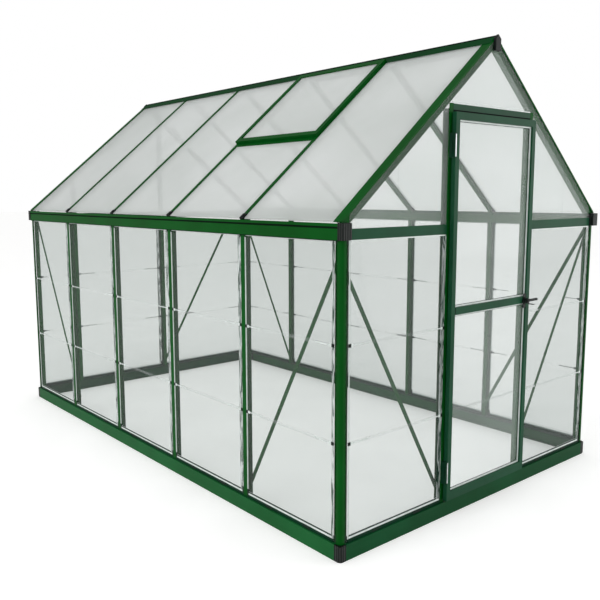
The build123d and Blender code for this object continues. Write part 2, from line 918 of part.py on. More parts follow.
def brace(plane, low, high):
    """Bar between two points of a plane that lies on the posts' inner faces."""
    run = hypot(high[0] - low[0], high[1] - low[1])
    tilt = degrees(atan2(high[1] - low[1], high[0] - low[0]))
    middle = ((low[0] + high[0]) / 2, (low[1] + high[1]) / 2)
    with BuildSketch(plane) as outline:
        with Locations(Location(middle, tilt)):
            SlotCenterToCenter(run, brace_width)
    extrude(outline.sketch, amount=brace_thick)


brace_low = base_height + 60
brace_high = eaves_under - 20
brace_drop = 50
brace_post = wall_y - stud_depth + brace_width / 2
inner_left = Plane(origin=(-wall_x + stud_depth, 0, 0), x_dir=(0, 1, 0), z_dir=(1, 0, 0))
inner_front = Plane(origin=(0, -wall_y + stud_depth, 0), x_dir=(-1, 0, 0), z_dir=(0, 1, 0))
inner_rear = Plane(origin=(0, wall_y - stud_depth, 0), x_dir=(1, 0, 0), z_dir=(0, -1, 0))
with BuildPart() as braces_left:
    for end in (-1, 1):
        brace(inner_left, (end * stud_places[-1], brace_low), (end * brace_post, brace_high))

with BuildPart() as braces_sides:
    add(braces_left.part)
    mirror(braces_left.part, about=Plane.YZ)
save(braces_sides.part, "braces_sides")

brace_corner = wall_x - stud_depth + brace_width / 2
with BuildPart() as braces_gables:
    for end in (-1, 1):
        brace(inner_front, (end * door_post_x, brace_low), (end * brace_corner, brace_high - brace_drop))
    brace(inner_rear, (rear_stud_places[-1], brace_low), (rear_stud_places[-1] + bay, brace_high - brace_drop))
save(braces_gables.part, "braces_gables")


# Clips on the panes' outer faces, beside the upper and lower ends of the stud caps

def end_clips(x, y, z, side, height):
    """Two blocks, one on each side of a stud's cap."""
    with BuildSketch(upright(x, y, z, side)) as pair:
        for end, align in ((-1, Align.MAX), (1, Align.MIN)):
            with Locations((end * cap_width / 2, -cap_thick)):
                Rectangle(sleeve_width, sleeve_thick, align=(align, Align.MIN))
    extrude(pair.sketch, amount=height)


lip_top = base_height + sill_lip
with BuildPart() as stud_sleeves_left:
    for place in stud_places:
        end_clips(-wall_x, place, lip_top, "left", sleeve_foot)
        end_clips(-wall_x, place, eaves_under - sleeve_head, "left", sleeve_head)

with BuildPart() as stud_sleeves:
    add(stud_sleeves_left.part)
    mirror(stud_sleeves_left.part, about=Plane.YZ)
    for place in rear_stud_places:
        end_clips(place, wall_y, lip_top, "rear", sleeve_foot)
save(stud_sleeves.part, "stud_sleeves")


# Door leaf: slotted tubes around its panes, hung in front of the posts and laid over their edges

rail_half = door_half - stile_width
with BuildPart() as door_stiles:
    with BuildSketch(Plane.XY.offset(door_bottom)):
        with Locations((door_half - stile_width / 2, leaf_middle)):
            Rectangle(stile_width, door_thick)
            hollow = (stile_width - 2 * tube_wall, door_thick - 2 * tube_wall)
            Rectangle(*hollow, mode=Mode.SUBTRACT)
        with Locations((rail_half, leaf_pane)):
            Rectangle(tube_wall, pane_thick, align=(Align.MIN, Align.CENTER), mode=Mode.SUBTRACT)
        mirror(about=Plane.YZ)
    extrude(amount=door_top - door_bottom)
save(door_stiles.part, "door_stiles")


def door_rail(foot, height, slots):
    """Tube with a middle web between the stiles, and a pane slot at each given height."""
    with BuildSketch(Plane.YZ.offset(-rail_half)) as section:
        with Locations((leaf_middle, foot + height / 2)):
            Rectangle(door_thick, height)
            Rectangle(door_thick - 2 * tube_wall, height - 2 * tube_wall, mode=Mode.SUBTRACT)
            Rectangle(door_thick, tube_wall)
        for edge in slots:
            with Locations((leaf_pane, edge)):
                Rectangle(pane_thick, 2 * tube_wall, mode=Mode.SUBTRACT)
    extrude(section.sketch, amount=2 * rail_half)


bottom_rail_top = door_bottom + bottom_rail_height
mid_rail_foot = mid_rail_centre - mid_rail_height / 2
mid_rail_top = mid_rail_centre + mid_rail_height / 2
top_rail_foot = door_top - top_rail_height
with BuildPart() as door_rails:
    door_rail(door_bottom, bottom_rail_height, (bottom_rail_top,))
    door_rail(mid_rail_foot, mid_rail_height, (mid_rail_foot, mid_rail_top))
    door_rail(top_rail_foot, top_rail_height, (top_rail_foot,))
save(door_rails.part, "door_rails")

door_pane_plane = Plane(origin=(0, leaf_pane + pane_thick / 2, 0), x_dir=(1, 0, 0), z_dir=(0, -1, 0))
door_pane_edge = rail_half + pane_bite
door_tiers = (
    (bottom_rail_top - pane_bite, door_joint - half_strip),
    (door_joint + half_strip, mid_rail_foot + pane_bite),
    (mid_rail_top - pane_bite, top_rail_foot + pane_bite),
)
with BuildPart() as door_panes:
    for foot, top in door_tiers:
        wall_pane(door_pane_plane, (-door_pane_edge, foot), (door_pane_edge, top))
save(door_panes.part, "door_panes")

with BuildPart() as door_strip:
    strip_plane = leaf_pane - pane_thick / 2 - cap_thick
    with BuildSketch(level(rail_half, strip_plane, door_joint, "front")):
        joint_section()
    extrude(amount=2 * rail_half)
save(door_strip.part, "door_strip")


# Hinges: knuckles at the leaf's front edge, one plate on the leaf's side, one down to the post

hinge_feet = [centre - hinge_height / 2 for centre in hinge_centres]
door_plate = door_thick - hinge_set - knuckle_radius - pin_play
post_reach = -wall_y - hinge_y
post_plate = post_reach - knuckle_radius - pin_play
with BuildPart() as hinge_post_leaves:
    for foot in hinge_feet:
        with BuildSketch(upright(hinge_x, hinge_y, foot, "front")):
            with Locations((knuckle_radius, -post_reach)):
                Rectangle(hinge_plate, post_plate, align=low_right)
                Rectangle(knuckle_radius, hinge_plate, align=low_right)
            Circle(pin_radius)
        extrude(amount=hinge_height)
        for low, high in (low_knuckle, high_knuckle):
            with BuildSketch(upright(hinge_x, hinge_y, foot + low, "front")):
                Circle(knuckle_radius)
                Rectangle(knuckle_radius, knuckle_radius + hinge_plate, align=top_left)
            extrude(amount=high - low)
save(hinge_post_leaves.part, "hinge_post_leaves")

with BuildPart() as hinge_door_leaves:
    for foot in hinge_feet:
        with BuildSketch(upright(hinge_x, hinge_y, foot, "front")):
            with Locations((-hinge_gap, -knuckle_radius - pin_play)):
                Rectangle(hinge_plate, door_plate, align=top_left)
        extrude(amount=hinge_height)
        with BuildSketch(upright(hinge_x, hinge_y, foot + middle_knuckle[0], "front")):
            Circle(knuckle_radius)
            Rectangle(hinge_gap, 2 * hinge_plate, align=(Align.MAX, Align.CENTER))
            with Locations((-hinge_gap, hinge_plate)):
                Rectangle(hinge_plate, knuckle_radius + 2 * hinge_plate, align=top_left)
            Circle(pin_radius + pin_play, mode=Mode.SUBTRACT)
        extrude(amount=middle_knuckle[1] - middle_knuckle[0])
save(hinge_door_leaves.part, "hinge_door_leaves")


# Latch: a plate and boss with a headed spindle on the door, a lever on it, a catch on the post

boss_out = leaf_out + latch_boss_thick
lever_out = boss_out + handle_stand
spindle_out = lever_out + hub_length + handle_stand


def latch_disc(out, radius, thick):
    """Disc on the latch's axis, its back this far out of the middle of the building."""
    with BuildSketch(Plane.XZ.offset(out)) as disc:
        with Locations((latch_x, latch_height)):
            Circle(radius)
    extrude(disc.sketch, amount=thick)


with BuildPart() as latch_boss:
    with BuildSketch(Plane.XZ.offset(leaf_out)):
        with Locations((latch_x, latch_height)):
            RectangleRounded(*latch_plate, cap_round * 4)
    extrude(amount=latch_plate_thick)
    latch_disc(leaf_out, latch_boss_radius, latch_boss_thick)
    chamfer(faces().sort_by(Axis.Y)[0].edges(), 2)
    latch_disc(boss_out, spindle_radius, spindle_out - boss_out)
    latch_disc(spindle_out, spindle_head, cap_thick)
    chamfer(faces().sort_by(Axis.Y)[0].edges(), 1)
save(latch_boss.part, "latch_boss")

with BuildPart() as latch_handle:
    with BuildSketch(Plane.XZ.offset(lever_out)):
        with Locations((latch_x, latch_height)):
            Circle(hub_radius)
            Rectangle(lever_length, lever_width, align=(Align.MIN, Align.CENTER))
    extrude(amount=lever_thick)
    lever_end = faces().sort_by(Axis.X)[-1].edges().filter_by(Axis.Y)
    fillet(lever_end, lever_width / 2 - 1)
    latch_disc(lever_out, hub_radius, hub_length)
    with BuildSketch(Plane.XZ.offset(lever_out)):
        with Locations((latch_x, latch_height)):
            Circle(spindle_radius + hub_play)
    extrude(amount=hub_length, mode=Mode.SUBTRACT)
save(latch_handle.part, "latch_handle")

with BuildPart() as latch_catch:
    catch_foot = latch_height - catch_plate[1] / 2
    with BuildSketch(Plane.XZ.offset(wall_y)):
        with Locations((catch_x, latch_height)):
            Rectangle(*catch_plate)
    extrude(amount=cap_thick)
    with BuildSketch(Plane.XZ.offset(wall_y)):
        with Locations((catch_x, catch_foot)):
            Rectangle(catch_plate[0], cap_thick, align=low_middle)
    extrude(amount=catch_reach)
save(latch_catch.part, "latch_catch")
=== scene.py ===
import json
import math

import bmesh
import bpy
from mathutils import Matrix, Vector


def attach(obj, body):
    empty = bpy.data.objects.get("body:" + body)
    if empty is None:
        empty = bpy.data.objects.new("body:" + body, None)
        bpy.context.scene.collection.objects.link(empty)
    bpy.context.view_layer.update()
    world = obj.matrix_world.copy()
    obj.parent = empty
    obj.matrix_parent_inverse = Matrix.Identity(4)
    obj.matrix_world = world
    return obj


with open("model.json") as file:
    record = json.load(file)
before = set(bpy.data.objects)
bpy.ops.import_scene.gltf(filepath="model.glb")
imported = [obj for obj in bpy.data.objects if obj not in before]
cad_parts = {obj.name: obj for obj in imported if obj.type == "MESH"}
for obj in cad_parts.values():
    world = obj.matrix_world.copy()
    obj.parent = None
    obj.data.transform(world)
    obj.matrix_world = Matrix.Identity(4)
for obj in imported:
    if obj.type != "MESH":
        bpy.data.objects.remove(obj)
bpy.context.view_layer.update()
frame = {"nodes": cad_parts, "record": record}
nodes = frame["nodes"]

# Places shared with the CAD part. All lengths are in metres, and the door gable is at -Y.
WALL_X = 0.916  # outer plane of the side walls
WALL_Y = 1.521  # outer plane of the gable walls
BAYS = 5
BAY = 2 * WALL_Y / BAYS
STUDS = [-WALL_Y + BAY * k for k in range(1, BAYS)]
STUD_HALF = 0.014
REAR_STUDS = (-0.615, 0.085)  # X of the two studs in the rear gable
POST_LEG = 0.040  # leg of a corner post along each wall
POST_NOSE = 0.024  # rounded outer part of a corner post
SIDE_EDGE = WALL_Y - POST_LEG
GABLE_EDGE = WALL_X - POST_LEG
DOOR_POST = 0.296  # X of the middle of a door post
DOOR_POST_HALF = 0.012
JOINTS = (0.463, 0.845)  # heights of the joint strips between the tiers of panes
SILL_TOP = 0.080
EAVES = 1.241  # underside of the eaves rails
ROOF_FOOT = (-0.920, 1.310)  # X and Z where the left slope starts
APEX = 2.080
SLOPE = math.atan2(APEX - ROOF_FOOT[1], -ROOF_FOOT[0])
LEAF_FRONT = -WALL_Y - 0.025  # front face of the door leaf


def srgb(r, g, b, a=1.0):
    """Linear colour of an 8-bit sRGB one."""
    def line(c):
        c = c / 255
        return c / 12.92 if c <= 0.04045 else ((c + 0.055) / 1.055) ** 2.4
    return (line(r), line(g), line(b), a)


# Materials

FINISH = {}


def node(tree, kind, **inputs):
    """New shader node with its inputs set by name, each a value or a socket."""
    made = tree.nodes.new(kind)
    for name, value in inputs.items():
        socket = made.inputs[name.replace("_", " ")]
        if isinstance(value, bpy.types.NodeSocket):
            tree.links.new(value, socket)
        else:
            socket.default_value = value
    return made


def maths(tree, operation, *values):
    """Result of a maths node, its inputs each a number or a socket."""
    made = tree.nodes.new("ShaderNodeMath")
    made.operation = operation
    for socket, value in zip(made.inputs, values):
        if isinstance(value, bpy.types.NodeSocket):
            tree.links.new(value, socket)
        else:
            socket.default_value = value
    return made.outputs["Value"]


def mixed(tree, share, first, second):
    """Shader that goes from the first to the second as share rises, a value or a socket."""
    made = node(tree, "ShaderNodeMixShader", Fac=share)
    tree.links.new(first, made.inputs[1])
    tree.links.new(second, made.inputs[2])
    return made.outputs[0]


def blank(name):
    """New finish in FINISH: its tree, Principled shader and object-space coordinate."""
    mat = bpy.data.materials.new(name)
    mat.use_nodes = True
    tree = mat.node_tree
    place = tree.nodes.new("ShaderNodeTexCoord").outputs["Object"]
    FINISH[name] = mat
    return tree, tree.nodes["Principled BSDF"], place


def ramp(tree, value, low, high, start=0.35, end=0.65):
    """Colour that goes from low to high as value rises from start to end."""
    made = tree.nodes.new("ShaderNodeValToRGB")
    made.color_ramp.elements[0].position = start
    made.color_ramp.elements[1].position = end
    made.color_ramp.elements[0].color = low
    made.color_ramp.elements[1].color = high
    tree.links.new(value, made.inputs["Fac"])
    return made.outputs["Color"]


def spread(tree, value, low, high):
    """Number from low to high as value rises from 0 to 1."""
    made = node(tree, "ShaderNodeMapRange", Value=value)
    made.inputs["To Min"].default_value = low
    made.inputs["To Max"].default_value = high
    return made.outputs["Result"]


ROUGH_SPREAD = 0.08  # how far the roughness of a solid finish goes up and down


def solid(name, low, high, rough, grain=700, depth=0.00015, metal=0.0, specular=0.3, cloud=5.0):
    """Opaque finish with cloudy colour, uneven roughness and a fine grain of the given depth."""
    tree, shader, place = blank(name)
    wide = node(tree, "ShaderNodeTexNoise", Vector=place, Scale=cloud, Detail=4.0).outputs["Fac"]
    fine = node(tree, "ShaderNodeTexNoise", Vector=place, Scale=grain, Detail=2.0).outputs["Fac"]
    uneven = spread(tree, wide, rough - ROUGH_SPREAD, rough + ROUGH_SPREAD)
    bump = node(tree, "ShaderNodeBump", Height=fine, Strength=0.3, Distance=depth)
    tree.links.new(ramp(tree, wide, low, high), shader.inputs["Base Color"])
    tree.links.new(uneven, shader.inputs["Roughness"])
    tree.links.new(bump.outputs["Normal"], shader.inputs["Normal"])
    shader.inputs["Metallic"].default_value = metal
    shader.inputs["Specular IOR Level"].default_value = specular


def ribbed(name, low, high, rough):
    """Black moulding with upright ribs on all its sides."""
    solid(name, low, high, rough, specular=0.2)
    tree = FINISH[name].node_tree
    shader = tree.nodes["Principled BSDF"]
    place = tree.nodes["Texture Coordinate"].outputs["Object"]
    turned = node(tree, "ShaderNodeMapping", Vector=place, Rotation=(0, 0, math.radians(45)))
    ribs = node(tree, "ShaderNodeTexWave", Vector=turned.outputs["Vector"], Scale=40.0)
    bump = node(tree, "ShaderNodeBump", Height=ribs.outputs["Fac"], Strength=0.8, Distance=0.0015)
    tree.links.new(shader.inputs["Normal"].links[0].from_socket, bump.inputs["Normal"])
    tree.links.new(bump.outputs["Normal"], shader.inputs["Normal"])


SHEET_ROUGH_RISE = 0.05  # how much rougher a clear sheet is where it is smudged
HAZE_LEAST = 0.3  # haze of the clearest and the most smudged places, as shares of the usual one
HAZE_MOST = 1.7


def clear(name, tint, body, haze, edge, rough=0.04, streaks=None):
    """Clear sheet: haze is the share of glossy body seen straight on, edge what grazing angles add."""
    tree, shader, place = blank(name)
    smudge = node(tree, "ShaderNodeTexNoise", Vector=place, Scale=1.6, Detail=3.0).outputs["Fac"]
    shader.inputs["Base Color"].default_value = body
    shader.inputs["Specular IOR Level"].default_value = 0.5
    tree.links.new(spread(tree, smudge, rough, rough + SHEET_ROUGH_RISE), shader.inputs["Roughness"])
    graze = node(tree, "ShaderNodeLayerWeight", Blend=0.3).outputs["Fresnel"]
    uneven = spread(tree, smudge, haze * HAZE_LEAST, haze * HAZE_MOST)
    amount = maths(tree, "MULTIPLY_ADD", graze, edge, uneven)
    if streaks:
        amount = highlight_streaks(tree, shader, place, body, amount, streaks)
    through = node(tree, "ShaderNodeBsdfTransparent", Color=tint)
    surface = mixed(tree, amount, through.outputs[0], shader.outputs[0])
    tree.links.new(surface, tree.nodes["Material Output"].inputs["Surface"])


STREAK_STRETCH = 0.1  # scale of the streaks upwards, as a share of that across


def highlight_streaks(tree, shader, place, body, amount, scale):
    """Upright streaks along the edge of a bent clear sheet: pale ones are painted highlights, dark
    green ones the profile seen through it.
    """
    flow = node(tree, "ShaderNodeMapping", Vector=place, Scale=(scale, scale, scale * STREAK_STRETCH))
    wave = node(
        tree, "ShaderNodeTexNoise", Vector=flow.outputs["Vector"], Scale=1.0, Detail=3.0, Distortion=2.0
    ).outputs["Fac"]
    # Pale streaks are painted highlights, added as more of the sheet's opaque body
    lit = ramp(tree, wave, (0, 0, 0, 1), (0.5, 0.5, 0.5, 1), start=0.4, end=0.5)
    tone = ramp(tree, wave, body, srgb(44, 78, 62), start=0.47, end=0.55)
    bump = node(tree, "ShaderNodeBump", Height=wave, Strength=0.5, Distance=0.001)
    tree.links.new(bump.outputs["Normal"], shader.inputs["Normal"])
    tree.links.new(tone, shader.inputs["Base Color"])
    return maths(tree, "ADD", lit, amount)


FLUTE_SCALE = 31.4  # wave texture scale that gives flutes 10 mm apart
GLOW_SHARE = 0.68  # share of the roof sheet's body that passes light on to its other side


def milky(name, low, high, through):
    """Twin-wall roof sheet: white, lets light and a faint view through, fluted along the slope."""
    tree, shader, place = blank(name)
    flutes = tree.nodes.new("ShaderNodeTexWave")
    flutes.bands_direction = "Y"
    flutes.inputs["Scale"].default_value = FLUTE_SCALE
    flutes.inputs["Distortion"].default_value = 0.0
    tree.links.new(place, flutes.inputs["Vector"])
    wide = node(tree, "ShaderNodeTexNoise", Vector=place, Scale=1.8, Detail=4.0)
    tone = ramp(tree, wide.outputs["Fac"], low, high)
    shade = spread(tree, flutes.outputs["Fac"], 0.97, 1.0)
    mixer = node(tree, "ShaderNodeMixRGB", Fac=1.0, Color1=tone, Color2=shade)
    mixer.blend_type = "MULTIPLY"
    colour = mixer.outputs["Color"]
    tree.links.new(colour, shader.inputs["Base Color"])
    shader.inputs["Roughness"].default_value = 0.3
    shader.inputs["Specular IOR Level"].default_value = 0.35
    bump = node(tree, "ShaderNodeBump", Height=flutes.outputs["Fac"], Strength=0.25, Distance=0.0006)
    tree.links.new(bump.outputs["Normal"], shader.inputs["Normal"])
    glow = node(tree, "ShaderNodeBsdfTranslucent", Color=colour)
    see = node(tree, "ShaderNodeBsdfTransparent", Color=(0.95, 0.96, 0.95, 1))
    body = mixed(tree, GLOW_SHARE, shader.outputs[0], glow.outputs[0])
    surface = mixed(tree, through, body, see.outputs[0])
    tree.links.new(surface, tree.nodes["Material Output"].inputs["Surface"])


# Greens: coated profiles, a greyer copy of them with painted sheen for those that face the front, the
# ridge, the base with a darker copy of painted shade for the gables, and a darker copy with painted
# shade for the sills
solid("green_frame", srgb(0, 71, 15), srgb(1, 80, 21), rough=0.42, depth=0.0001, specular=0.06)
# Greyer copy of green_frame with painted sheen, for the profiles that face the front
solid("front_sheen_green", srgb(18, 66, 42), srgb(26, 76, 51), rough=0.42, depth=0.0001, specular=0.09)
solid("ridge_green", srgb(0, 55, 20), srgb(2, 64, 26), rough=0.5, depth=0.0001, specular=0.04)
solid("green_steel", srgb(13, 85, 38), srgb(21, 95, 46), rough=0.5, specular=0.1)
# Darker copy of green_steel with painted shade, for the base rails of the gables
solid("gable_shaded_steel", srgb(9, 67, 34), srgb(16, 76, 42), rough=0.5, specular=0.07)
# Darker copy of the frame green with painted shade, for the sills, ridge beam and hinge leaves
solid("shaded_green", srgb(2, 44, 26), srgb(6, 54, 34), rough=0.45, specular=0.12)

# Darks
solid("dark_connector", srgb(4, 30, 18), srgb(8, 40, 26), rough=0.5, specular=0.2)
solid("black_plastic", srgb(4, 12, 9), srgb(11, 20, 16), rough=0.45, depth=0.0003, specular=0.18)
ribbed("ribbed_plastic", srgb(5, 13, 10), srgb(13, 22, 18), rough=0.4)
# Dark finish for the ridge seam, the door's dark lines and the strip over its leaf, and for strips of
# painted shade in the eaves rails
solid("rubber_and_shade", srgb(4, 18, 12), srgb(9, 27, 19), rough=0.7, grain=900, depth=0.0002, specular=0.06)

# Sheets and clear mouldings
clear("clear_pane", (0.885, 0.897, 0.892, 1), srgb(222, 228, 225), haze=0.004, edge=0.08)
# Hazier, paler copies of clear_pane with painted sheen, for the front wall, the door and the front
# gable
clear("front_sheen_pane", (0.905, 0.915, 0.912, 1), srgb(222, 230, 227), haze=0.018, edge=0.09)
clear("bright_sheen_pane", (0.96, 0.967, 0.965, 1), srgb(236, 242, 240), haze=0.08, edge=0.1)
clear("clear_strip", (0.996, 0.998, 0.997, 1), srgb(236, 242, 240), haze=0.025, edge=0.09, rough=0.06)
# Clear trim with streaks of painted highlight beside the posts and studs
clear(
    "edge_trim", (0.95, 0.96, 0.957, 1), srgb(236, 242, 240),
    haze=0.04, edge=0.3, rough=0.05, streaks=60.0,
)
milky("roof_sheet", srgb(241, 243, 242), srgb(250, 251, 251), through=0.3)
# Pale finish of the beads, tabs, glints and header crest: painted highlight
solid("highlight_trim", srgb(206, 216, 211), srgb(228, 235, 232), rough=0.3, specular=0.4, cloud=40.0)
solid("grey_line", srgb(176, 186, 181), srgb(198, 207, 202), rough=0.35, specular=0.4, cloud=40.0)

# Bare metal
solid(
    "hinge_metal", srgb(196, 200, 202), srgb(226, 228, 230),
    rough=0.28, grain=300, depth=0.0001, metal=1.0, specular=0.5, cloud=30.0,
)
solid(
    "screw_metal", srgb(176, 180, 184), srgb(214, 216, 218),
    rough=0.3, grain=500, depth=0.0001, metal=1.0, specular=0.5, cloud=60.0,
)

# Nodes whose finish differs from that of their material slot; most are copies with painted shade or
# painted sheen
SPECIAL = {
    "sills_sides": "shaded_green",
    "sills_gables": "shaded_green",
    "ridge_beam": "shaded_green",
    "hinge_post_leaves": "shaded_green",
    "hinge_door_leaves": "shaded_green",
    "cross_rails": "front_sheen_green",
    "door_header": "front_sheen_green",
    "door_rails": "front_sheen_green",
    "door_stiles": "front_sheen_green",
    "base_rails_gables": "gable_shaded_steel",
    "eaves_end_caps": "ribbed_plastic",
    "base_corner_caps": "ribbed_plastic",
    "panes_front": "front_sheen_pane",
    "door_panes": "bright_sheen_pane",
    "gable_panes_front": "bright_sheen_pane",
}
for row in frame["record"]["subparts"]:
    mesh = nodes[row["node"]].data
    mesh.materials.clear()
    mesh.materials.append(FINISH[SPECIAL.get(row["node"], row["material_slot"])])


# Mesh helpers

# Rings of a screw head from its foot up: shares of its radius and of its rise
SCREW_RINGS = ((1.0, 0.0), (1.0, 0.45), (0.8, 0.85), (0.45, 1.0), (0.34, 0.5), (0.12, 0.35))
SCREW_RADIUS = 0.004
SCREW_RISE = 0.0022
SCREW_SIDES = 12
UPRIGHT = Vector((0, 0, 1)).to_track_quat("Z", "Y").to_matrix().to_4x4()
TRIM_ROUND = 0.0006


class Shape:
    """Collects small forms of one material on one body into one mesh."""

    def __init__(self, name, finish, body="house", slot=None):
        self.name = name
        self.finish = finish
        self.body = body
        self.slot = slot
        self.bm = bmesh.new()

    def block(self, low, high, round_by, matrix=None):
        """Box with bevelled edges between two corners, then moved by the matrix."""
        size = Vector(high) - Vector(low)
        middle = (Vector(high) + Vector(low)) / 2
        place = Matrix.Translation(middle) @ Matrix.Diagonal((*size, 1))
        corners = bmesh.ops.create_cube(self.bm, size=1.0, matrix=place)["verts"]
        edges = list({e for v in corners for e in v.link_edges})
        rounded = bmesh.ops.bevel(
            self.bm, geom=edges, offset=round_by, segments=2, affect="EDGES", profile=0.5
        )
        if matrix is not None:
            points = {v for f in rounded["faces"] for v in f.verts} | {v for v in corners if v.is_valid}
            bmesh.ops.transform(self.bm, matrix=matrix, verts=list(points))

    def screw(self, centre):
        """Domed screw head on a level face, with a dished recess."""
        place = Matrix.Translation(Vector(centre)) @ UPRIGHT
        loops = []
        for width, height in SCREW_RINGS:
            loop = []
            for i in range(SCREW_SIDES):
                a = 2 * math.pi * i / SCREW_SIDES
                across = SCREW_RADIUS * width
                point = Vector((across * math.cos(a), across * math.sin(a), SCREW_RISE * height))
                loop.append(self.bm.verts.new(place @ point))
            loops.append(loop)
        for under, over in zip(loops, loops[1:]):
            for i in range(SCREW_SIDES):
                j = (i + 1) % SCREW_SIDES
                self.bm.faces.new((under[i], under[j], over[j], over[i]))
        self.bm.faces.new(list(reversed(loops[0])))
        self.bm.faces.new(loops[-1])

    def done(self):
        """Turns the collected forms into an object that rides on its body."""
        bmesh.ops.recalc_face_normals(self.bm, faces=self.bm.faces)
        mesh = bpy.data.meshes.new(self.name)
        self.bm.to_mesh(mesh)
        self.bm.free()
        mesh.materials.append(FINISH[self.finish])
        piece = bpy.data.objects.new(self.name, mesh)
        bpy.context.scene.collection.objects.link(piece)
        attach(piece, self.body)


def wall_point(side, out, along, up):
    """Point given by how far it lies out of a wall's plane, along the wall and up."""
    if side == "left":
        return Vector((-WALL_X - out, along, up))
    if side == "right":
        return Vector((WALL_X + out, along, up))
    if side == "front":
        return Vector((along, -WALL_Y - out, up))
    return Vector((along, WALL_Y + out, up))


def on_wall(shape, side, out, along, up, round_by=TRIM_ROUND):
    """Bevelled box given by ranges out of a wall's plane, along it and up."""
    one = wall_point(side, out[0], along[0], up[0])
    two = wall_point(side, out[1], along[1], up[1])
    low = [min(a, b) for a, b in zip(one, two)]
    high = [max(a, b) for a, b in zip(one, two)]
    shape.block(low, high, round_by)


def wall_bays(side):
    """Clear spans between posts and studs along a wall, below the eaves."""
    if side in ("left", "right"):
        edge = SIDE_EDGE
        studs = STUDS
    elif side == "rear":
        edge = GABLE_EDGE
        studs = REAR_STUDS
    else:
        inner = DOOR_POST + DOOR_POST_HALF
        return [(-GABLE_EDGE, -inner), (inner, GABLE_EDGE)]
    stops = [-edge]
    for along in studs:
        stops += [along - STUD_HALF, along + STUD_HALF]
    stops.append(edge)
    return list(zip(stops[0::2], stops[1::2]))


def from_edge(edge, sign, near, far):
    """Range along a wall between two distances in from the edge of a bay."""
    return sorted((edge + sign * near, edge + sign * far))


# Trims round every bay of panes. Each depth is a range out of the wall's plane,
# and each span a range in from the edge of a bay.
ON_PANE = -0.0028  # just outside the face of the panes
STREAK_DEPTH = (ON_PANE, -0.0012)
STREAK_WIDTH = 0.024
# Beads, tabs and glints are pale pieces of painted highlight on the clear edges of the panes and the
# joint strips
BEAD_DEPTH = (ON_PANE, -0.0008)
BEAD_SPAN = (0.0005, 0.0045)
SEAM_DEPTH = (ON_PANE, -0.0018)
SEAM_SPAN = (0.0065, 0.0078)
BEAD_UP = (SILL_TOP, EAVES - 0.004)
INSET = 0.008  # from the edge of a bay to the level trims
SILL_BEAD_UP = (SILL_TOP + 0.0005, SILL_TOP + 0.008)
SILL_SEAM_DEPTH = (ON_PANE, -0.002)
SILL_SEAM_UP = (SILL_TOP + 0.015, SILL_TOP + 0.0162)
TOP_BEAD_DEPTH = (ON_PANE, -0.001)
TOP_BEAD_UP = (EAVES - 0.006, EAVES - 0.0005)
SEAM_ROUND = 0.0003

# At each joint strip: a black clip, and a pale tab beside it and a thin glint along the strip, both
# painted highlights
CLIP_DEPTH = (ON_PANE, 0.0016)
CLIP_SPAN = (-0.001, 0.012)
CLIP_HALF = 0.0065
TAB_DEPTH = (ON_PANE, 0.0005)
TAB_SPAN = (0.012, 0.024)
TAB_HALF = 0.006
CLIP_ROUND = 0.001
GLINT_DEPTH = (ON_PANE, 0.0004)
GLINT_START = 0.023
GLINT_SHARE = 0.2  # share of the bay's width where the glint ends
GLINT_HALF = 0.0016
GLINT_ROUND = 0.0005

STREAKED_SIGN = {"left": 1, "right": 1, "front": -1, "rear": -1}
FIRST_BAY = (-SIDE_EDGE, STUDS[0] - STUD_HALF)  # next to the front corner post, with a narrower streak


def dress_wall(side):
    """Trims of one wall: streaked with painted highlights on one edge of each bay, a bead of painted
    highlight and a seam on the other.
    """
    trims = Shape(f"pane_trims_{side}", "edge_trim", slot="clear_strip")
    highlight_beads = Shape(f"pane_highlight_beads_{side}", "highlight_trim", slot="clear_strip")
    seams = Shape(f"pane_seams_{side}", "grey_line", slot="clear_strip")
    clips = Shape(f"pane_clips_{side}", "black_plastic")
    for low, high in wall_bays(side):
        for edge, sign in ((low, 1), (high, -1)):
            if sign == STREAKED_SIGN[side]:
                wide = STREAK_WIDTH / 2 if (low, high) == FIRST_BAY else STREAK_WIDTH
                on_wall(trims, side, STREAK_DEPTH, from_edge(edge, sign, 0, wide), (SILL_TOP, EAVES))
            else:
                on_wall(highlight_beads, side, BEAD_DEPTH, from_edge(edge, sign, *BEAD_SPAN), BEAD_UP)
                on_wall(seams, side, SEAM_DEPTH, from_edge(edge, sign, *SEAM_SPAN), BEAD_UP, SEAM_ROUND)
            for z in JOINTS:
                span = from_edge(edge, sign, *CLIP_SPAN)
                on_wall(clips, side, CLIP_DEPTH, span, (z - CLIP_HALF, z + CLIP_HALF), CLIP_ROUND)
                span = from_edge(edge, sign, *TAB_SPAN)
                on_wall(highlight_beads, side, TAB_DEPTH, span, (z - TAB_HALF, z + TAB_HALF), CLIP_ROUND)
                span = from_edge(edge, sign, GLINT_START, (high - low) * GLINT_SHARE)
                on_wall(highlight_beads, side, GLINT_DEPTH, span, (z - GLINT_HALF, z + GLINT_HALF), GLINT_ROUND)
        inner = (low + INSET, high - INSET)
        on_wall(highlight_beads, side, BEAD_DEPTH, inner, SILL_BEAD_UP)
        on_wall(seams, side, SILL_SEAM_DEPTH, inner, SILL_SEAM_UP, SEAM_ROUND)
        on_wall(highlight_beads, side, TOP_BEAD_DEPTH, inner, TOP_BEAD_UP)
    for shape in (trims, highlight_beads, seams, clips):
        shape.done()


for side in ("left", "right", "front", "rear"):
    dress_wall(side)

